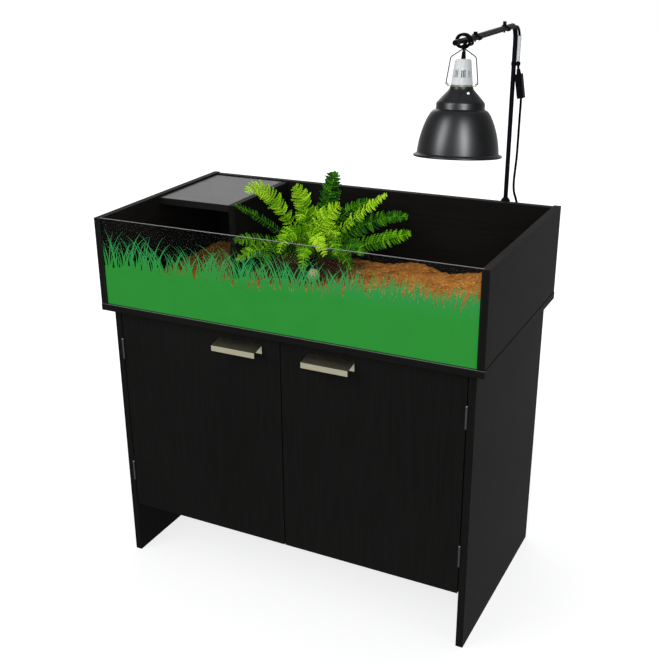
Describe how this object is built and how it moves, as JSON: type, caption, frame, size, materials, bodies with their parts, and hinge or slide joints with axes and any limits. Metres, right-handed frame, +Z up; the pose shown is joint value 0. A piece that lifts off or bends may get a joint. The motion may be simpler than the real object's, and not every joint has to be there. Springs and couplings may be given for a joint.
{
  "type": "terrarium cabinet",
  "caption": "Open black tray with a grass-printed glass front and a hide box, on a two-door cabinet, with a heat lamp hung from a bent pole over it.",
  "frame": {"origin": "bottom centre of the box round everything but the cord nodes, on the floor", "axes": "+X right, +Y back (the glass front faces -Y), +Z up"},
  "size_m": [0.916, 0.625, 1.2733],
  "materials": {
    "board_black": "black woodgrain melamine",
    "black_paint": "satin powder coat",
    "black_shade": "satin black enamel",
    "black_plastic": "moulded, slightly rough",
    "clear_glass": "clear float glass with a faint green edge",
    "green_print": "printed film, grass pattern in greens",
    "nickel": "satin nickel",
    "steel": "bright zinc",
    "dowel_wood": "raw beech",
    "hardboard": "black faced hardboard",
    "white_plastic": "glossy white moulding",
    "holder_ceramic": "unglazed white porcelain",
    "bulb_glass": "frosted glass",
    "cord_rubber": "black PVC sheath",
    "bark": "loose orange-brown bark and coir",
    "leaf": "moulded leaves, yellow green",
    "pale_cane": "pale woven cane"
  },
  "bodies": {
    "stand": {"tray_base": "board_black", "tray_left_side": "board_black", "tray_right_side": "board_black", "tray_back": "board_black", "glass_left_channel": "black_plastic", "glass_right_channel": "black_plastic", "hide_divider": "board_black", "roof_pegs": "nickel", "chipboard_screws": "steel", "wood_dowels": "dowel_wood", "cabinet_left_side": "board_black", "cabinet_right_side": "board_black", "cabinet_floor": "board_black", "cabinet_front_rail": "board_black", "cabinet_rear_rail": "board_black", "cabinet_back": "hardboard", "side_hinge_leaves": "black_paint", "hinge_pins": "steel", "door_magnets": "black_plastic", "pole_bracket": "black_paint", "bracket_screws": "steel", "pole_collar": "black_plastic", "lamp_pole": "black_paint", "arm_end_cap": "black_plastic", "arm_hook": "black_paint", "cord_clips": "black_plastic", "cord_arm": "cord_rubber", "cord_sleeve": "white_plastic", "switch_body": "black_plastic", "cord_drop": "cord_rubber", "cord_coil": "cord_rubber", "lamp_plug": "black_plastic", "bedding": "bark", "fern": "leaf", "ribbed_ball": "pale_cane"},
    "left_door": {"left_door": "board_black", "left_handle": "nickel", "left_handle_screws": "steel", "left_hinge_leaves": "black_paint", "left_strike": "steel"},
    "right_door": {"right_door": "board_black", "right_handle": "nickel", "right_handle_screws": "steel", "right_hinge_leaves": "black_paint", "right_strike": "steel"},
    "glass": {"front_glass": "clear_glass", "grass_print": "green_print"},
    "roof": {"hide_roof": "board_black"},
    "bail": {"lamp_bail": "steel", "cord_loop": "cord_rubber"},
    "head": {"bail_ring": "steel", "lamp_cover": "white_plastic", "cord_grip": "black_plastic", "lamp_holder": "holder_ceramic", "holder_nut": "holder_ceramic", "lamp_shade": "black_shade", "shade_screw": "steel", "lamp_bulb": "bulb_glass", "cord_neck": "cord_rubber"},
    "rocker": {"switch_rocker": "black_plastic"}
  },
  "joints": [
    {"name": "left_door_hinge", "type": "hinge", "parent": "stand", "child": "left_door", "pos_m": [-0.41975, -0.24055, 0.4], "axis": [0, 0, -1], "range_deg": [0, 110]},
    {"name": "right_door_hinge", "type": "hinge", "parent": "stand", "child": "right_door", "pos_m": [0.41975, -0.24055, 0.4], "axis": [0, 0, 1], "range_deg": [0, 110]},
    {"name": "glass_lift", "type": "slide", "parent": "stand", "child": "glass", "axis": [0, 0, 1], "range_m": [0, 0.2]},
    {"name": "roof_lift", "type": "slide", "parent": "stand", "child": "roof", "axis": [0, 0, 1], "range_m": [0, 0.15]},
    {"name": "bail_swing", "type": "hinge", "parent": "stand", "child": "bail", "pos_m": [0.3255, -0.07425, 1.2415], "axis": [-0.3206, 0.9472, 0], "range_deg": [-12, 12], "deforming": ["cord_loop"]},
    {"name": "head_tilt", "type": "hinge", "parent": "bail", "child": "head", "pos_m": [0.32422, -0.07468, 1.17701], "axis": [-0.947, -0.3205, 0.0209], "range_deg": [0, 12], "deforming": ["cord_neck"]},
    {"name": "rocker_press", "type": "hinge", "parent": "stand", "child": "rocker", "pos_m": [0.3422, 0.25575, 1.1295], "axis": [0.9869, 0, 0.1616], "range_deg": [0, 12]}
  ]
}
